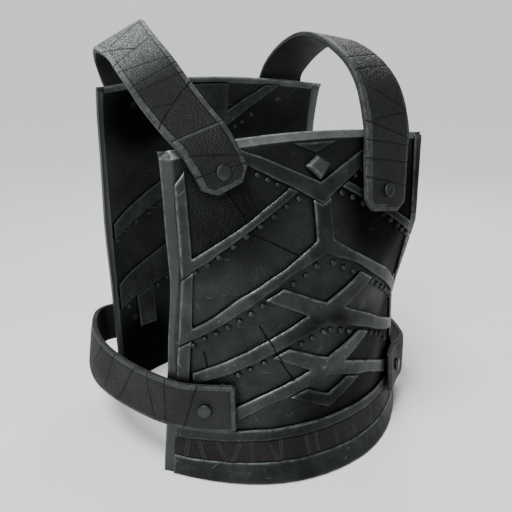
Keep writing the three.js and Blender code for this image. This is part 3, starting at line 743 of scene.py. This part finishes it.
def smooth_along(knots, values, at):
    """Cubic through the knots, with slopes from the neighbours."""
    slopes = np.gradient(values, knots, axis=0)
    k = np.clip(np.searchsorted(knots, at) - 1, 0, len(knots) - 2)
    span = knots[k + 1] - knots[k]
    t = (at - knots[k]) / span
    if values.ndim == 2:
        t, span = t[:, None], span[:, None]
    rest = 1 - t
    return (values[k] * (1 + 2 * t) * rest**2 + values[k + 1] * t**2 * (3 - 2 * t)
            + span * (slopes[k] * t * rest**2 - slopes[k + 1] * t**2 * rest))


def strap_stations(node):
    """A strap's length, and for each ring of its mesh the distance from the front end, the
    middle of the outer face, the directions across and outward, and the width."""
    middles, across, outward, widths = strap_frames(node)
    steps = np.linalg.norm(np.diff(middles, axis=0), axis=1)
    knots = np.r_[0, np.cumsum(steps)] / MM
    length = knots[-1]
    tip = np.array(TIP)
    body = np.linspace(BODY_START, length - BODY_START, int(length / STRAP_PITCH))
    at = np.r_[tip, body, length - tip[::-1]]
    columns = (middles, across, outward, widths)
    return length, zip(at, *(smooth_along(knots, column, at) for column in columns))


def strap_section(half):
    """Points round a strap of that half width, from the outer face on: across and depth."""
    flat = half - SHOULDER
    face = [(u * flat, -CROWN * u**6) for u in np.linspace(*FACE_POINTS)]
    shoulder = [(flat + SHOULDER * math.sin(a), -CROWN - SHOULDER_DROP * (1 - math.cos(a)))
                for a in np.radians(np.linspace(*SHOULDER_ARC))]
    side = [(half, depth) for depth in SIDE_DEPTHS]
    low = LOW_ROUNDING - THICKNESS
    under = [(half - LOW_ROUNDING * (1 - math.cos(a)), low - LOW_ROUNDING * math.sin(a))
             for a in np.radians(np.linspace(*LOW_ARC))]
    edge = [*shoulder, *side, *under]
    inner = [(u * (half - LOW_ROUNDING), -THICKNESS) for u in np.linspace(*INNER_POINTS)]
    return [*face, *edge, *inner, *((-x, depth) for x, depth in reversed(edge))]


def crease_depth(node, distance, u):
    """How deep the creases are at a place on a strap's outer face."""
    depth = 0.0
    for low, high, start, end in CREASES[node]:
        if start - CREASE_SLACK <= u <= end + CREASE_SLACK:
            line = low + (high - low) * (u + 1) / 2
            line += CREASE_BEND * math.sin(CREASE_WAVES * u + low)
            hill = math.exp(-(((distance - line) / CREASE_WIDTH) ** 2))
            depth = max(depth, hill * CREASE_DEPTH)
    return depth


def layer_lift(node, distance, u):
    """The second layer of leather, which covers the strap from its edge to the front end."""
    if node not in LAYER_EDGES:
        return 0.0
    low, high = LAYER_EDGES[node]
    line = low + (high - low) * (u + 1) / 2
    return LAYER_STEP * (1 - math.tanh(distance - line)) / 2


def strap_piece(node, material):
    """A padded strap with rounded worn shoulders, creases and softened ends.

    Its corners carry what its leather is drawn by: margin, the distance from the nearest edge
    of the outer face, inner, 1 on the inner face, and flat, the place on the strap laid flat.
    """
    cut = END_CUT[node.split("_")[0]]
    bm = bmesh.new()
    margin = bm.verts.layers.float.new("margin")
    inner = bm.verts.layers.float.new("inner")
    flat = bm.verts.layers.float_vector.new("flat")
    rings = []
    length, stations = strap_stations(node)
    for distance, middle, across, outward, width in stations:
        to_end = min(distance, length - distance)
        half = width / MM / 2 - cut * max(0.0, 1 - to_end / cut) ** CUT_CURVE
        thinner = TIP_ROUNDING * max(0.0, 1 - to_end / TIP[-1]) ** 2
        middle = Vector(middle)
        across = Vector(across).normalized()
        outward = Vector(outward).normalized()
        ring = []
        for x, depth in strap_section(half):
            share = x / half
            outer = depth > OUTSIDE
            y = depth
            if depth >= -CROWN:
                at = Vector((distance * RIPPLE_ALONG, share * RIPPLE_ACROSS, len(node)))
                y += RIPPLE * noise.noise(at)
            if outer:
                y -= crease_depth(node, distance, share)
                y += layer_lift(node, distance, share)
            y = max(thinner - THICKNESS, min(y, HIGHEST - thinner))
            vert = bm.verts.new(middle + across * x * MM + outward * y * MM)
            vert[margin] = min(half - abs(x), to_end) if outer else SIDE_MARGIN
            if outer and x < 0:
                vert[margin] -= WIDER_BORDER.get(node, 0.0)
            vert[inner] = 0.0 if depth > INSIDE else 1.0
            vert[flat] = Vector((share * CREASE_HALF, 0, distance if outer else NO_CREASES)) * MM
            ring.append(vert)
        rings.append(ring)
    join_rings(bm, rings)
    bm.faces.new(rings[0])
    bm.faces.new(rings[-1])
    bmesh.ops.recalc_face_normals(bm, faces=bm.faces)
    dressed(node, bm, material, "strap_leather")


def pairs(ring):
    """Each item of a ring with the next one round it."""
    return zip(ring, ring[1:] + ring[:1])


def join_rings(bm, rings):
    """Faces between rings of corners."""
    for first, second in zip(rings, rings[1:]):
        for (a, b), (c, d) in zip(pairs(first), pairs(second)):
            bm.faces.new((a, b, d, c))


# ---- rivets ------------------------------------------------------------------------------------
def head(bm, centre, axis, radius, height, profile=DOME, sides=DOME_SIDES, sink=RIVET_SINK):
    """A rivet head on a surface: rings that close over its top."""
    turn = axis.to_track_quat("Z", "Y")
    rings = []
    for share, level in [(1.0, -sink / height), *profile]:
        ring = []
        for i in range(sides):
            angle = 2 * math.pi * i / sides
            x, y = share * radius * math.cos(angle), share * radius * math.sin(angle)
            ring.append(bm.verts.new(centre + turn @ (Vector((x, y, level * height)) * MM)))
        rings.append(ring)
    join_rings(bm, rings)
    top = bm.verts.new(centre + axis * height * MM)
    for a, b in pairs(rings[-1]):
        bm.faces.new((a, b, top))
    bm.faces.new(list(reversed(rings[0])))


def both_sides(*lists):
    return [(side * x, z) for places in lists for x, z in places for side in (1, -1)]


def small_rivets(name, node, places, direction, material):
    """Rivet heads where lines along the direction first meet the node."""
    tree = solid_tree(node)
    bm = bmesh.new()
    dice = random.Random(RIVET_SEED)
    for x, z in places:
        start = Vector((MIDDLE_X + x * MM, 0, z * MM)) - direction
        hit, normal, _, _ = tree.ray_cast(start, direction)
        radius = RIVET_RADIUS * dice.uniform(*RIVET_SPREAD)
        if hit:
            head(bm, hit, normal, radius, RIVET_HEIGHT * dice.uniform(*HEIGHT_SPREAD))
    shown(name, bm, material, "rivet_steel")


def rivet_frame(node):
    """Middle of the base, axis, radius and height of a strap rivet's solid."""
    points = np.array([v.co for v in frame["nodes"][node].data.vertices])
    points = np.unique(points.round(6), axis=0)
    centre = points.mean(0)
    axis = np.linalg.svd(points - centre)[2][-1]
    along = (points - centre) @ axis
    across = np.linalg.norm(points - centre - np.outer(along, axis), axis=1)
    if across[along > along.mean()].mean() > across[along < along.mean()].mean():
        axis = -axis                 # it points to the narrower end, the top
        along = -along
    base = centre + axis * along.min()
    return Vector(base), Vector(axis), across.max() / MM, np.ptp(along) / MM


def strap_rivet(node, material):
    """A broad flat rivet head with a rounded rim."""
    bm = bmesh.new()
    head(bm, *rivet_frame(node), DISC, DISC_SIDES, STRAP_RIVET_SINK)
    dressed(node, bm, material, "rivet_steel")


def rivet_tails(plate, rivets, material):
    """The hammered ends of the strap rivets on the plate's inner face."""
    tree = solid_tree(plate)
    bm = bmesh.new()
    for node in rivets:
        base, axis, _, _ = rivet_frame(node)
        hit, normal, _, _ = tree.ray_cast(base - axis * TAIL_REACH, axis)
        if hit:
            head(bm, hit, normal, TAIL_RADIUS, TAIL_HEIGHT, DISC, TAIL_SIDES)
    shown(f"rivet_tails_{plate}", bm, material, "rivet_steel")


# ---- the pieces --------------------------------------------------------------------------------
def dress():
    plain = {"mottle": 0.18, "chipped": 0.0}
    plate = steel("plate_steel", level=0.028, worn_and_lit=0.2, shade=PLATE_SHADE, pebbles=1.0,
                  lines=(FRONT_CRACKS, *CRACK), flange=(167.0, 0.15), **plain)
    back = steel("back_steel", level=0.025, worn_and_lit=0.16, shade=BACK_SHADE, pebbles=0.3,
                 lines=(BACK_CRACKS, *CRACK), flange=(168.5, 0.65), **plain)
    # The top rim's paler steel is partly worn bare and partly a painted highlight, as it faces up.
    rim = steel("rim_steel", level=0.19, worn_and_lit=0.85, crevice_reach=RIM_CREVICE_SHADE_REACH)
    band = steel("band_steel", level=0.036, worn_and_lit=0.27, shade=BAND_SHADE,
                 lines=(BAND_CRACKS, *CRACK))
    inner_band = steel("inner_band_steel", level=0.036, worn_and_lit=0.16)
    stud = steel("stud_steel", level=0.06, worn_and_lit=0.4)
    rivet = steel("rivet_steel", level=0.043, worn_and_lit=0.24, shade=RIVET_SHADE, edge_reach=RIVET_WEAR_AND_HIGHLIGHT)
    slotted = slotted_steel(SLOTTED, level=0.043, worn_and_lit=0.24)
    hem = hem_leather(level=0.006)

    plate_piece("front_plate", plate, rim)
    plate_piece("back_plate", back, rim)
    slots = {part["node"]: part["material_slot"] for part in frame["record"]["subparts"]}
    for node, slot in slots.items():
        if slot == "band_steel":
            band_piece(node, stud if node == "lozenge_stud" else band, slot)
        elif slot == "inner_band_steel":
            band_piece(node, inner_band, slot)
        elif slot == "strap_leather":
            level = 0.010 if "shoulder" in node else 0.0145
            strap_piece(node, strap_leather(node, level))
        elif slot == "rivet_steel":
            strap_rivet(node, slotted if node == SLOTTED else rivet)
    band_piece("neck_gusset", plate, "plate_steel")
    band_piece("hem_panel", hem, "hem_leather")

    ahead = Vector((0, 1, 0))
    front_places = both_sides(UNDER_CHEVRON, UNDER_BRACE, UNDER_YOKE, UNDER_UPPER_CROSS)
    back_places = both_sides(UNDER_BACK_COLLAR, UNDER_BACK_CHEVRON, UNDER_BACK_GIRDLE)
    small_rivets("small_rivets_front", "front_plate", front_places, ahead, rivet)
    small_rivets("small_rivets_back_inner", "back_plate", back_places, ahead, rivet)
    small_rivets("small_rivets_back_outer", "back_plate", back_places, -ahead, rivet)
    strap_rivets = [node for node, slot in slots.items() if slot == "rivet_steel"]
    rivet_tails("front_plate", [node for node in strap_rivets if "front" in node], plate)
    rivet_tails("back_plate", [node for node in strap_rivets if "rear" in node], back)


# ---- the stage ---------------------------------------------------------------------------------
def stage():
    bm = bmesh.new()
    bmesh.ops.create_grid(bm, x_segments=1, y_segments=1, size=FLOOR_SIZE)
    floor = placed("floor", as_mesh("floor", bm))
    paint = Graph("floor_paint", {"Base Color": (0.9, 0.9, 0.9, 1), "Roughness": 0.9})
    floor.data.materials.append(paint.material)


def aimed(made, direction):
    made.rotation_euler = Vector(direction).to_track_quat("-Z", "Y").to_euler()


def lamp(name, place, target, size, power):
    data = bpy.data.lights.new(name, "AREA")
    data.size = size
    data.energy = power
    made = placed(name, data)
    made.location = place
    aimed(made, Vector(target) - Vector(place))


def sun(towards, angle, strength):
    data = bpy.data.lights.new("sun", "SUN")
    data.angle = math.radians(angle)
    data.energy = strength
    aimed(placed("sun", data), -Vector(towards))


def sky():
    """A studio dome: pale near the horizon, dimmer overhead."""
    world = bpy.data.worlds.new("studio")
    world.use_nodes = True
    tree = world.node_tree
    place = tree.nodes.new("ShaderNodeTexCoord")
    split = tree.nodes.new("ShaderNodeSeparateXYZ")
    fade = tree.nodes.new("ShaderNodeMapRange")
    fade.interpolation_type = "SMOOTHSTEP"
    names = ("From Min", "From Max", "To Min", "To Max")
    for name, value in zip(names, (*SKY_HEIGHTS, *SKY_STRENGTHS)):
        fade.inputs[name].default_value = value
    background = tree.nodes["Background"]
    background.inputs["Color"].default_value = SKY_COLOUR
    tree.links.new(place.outputs["Generated"], split.inputs[0])
    tree.links.new(split.outputs["Z"], fade.inputs["Value"])
    tree.links.new(fade.outputs[0], background.inputs["Strength"])
    bpy.context.scene.world = world


def light():
    sky()
    sun(towards=(-0.35, -0.1, 1.0), angle=22, strength=2.7)
    lamp("key", place=(-1.1, -0.9, 1.1), target=(0, 0, 0.3), size=0.6, power=20)
    lamp("edge", place=(0.9, 0.9, 1.3), target=(0, 0, 0.4), size=0.5, power=10)


def camera():
    data = bpy.data.cameras.new("camera")
    data.lens = LENS
    data.sensor_width = SENSOR
    made = placed("camera", data)
    made.location = (MIDDLE_X + CAMERA_X, DRAWING_Y + CAMERA_Y, CAMERA_Z)
    made.rotation_euler = (math.radians(90 - CAMERA_DOWN), 0, math.radians(-CAMERA_ASIDE))
    bpy.context.scene.camera = made


dress()
stage()
light()
camera()
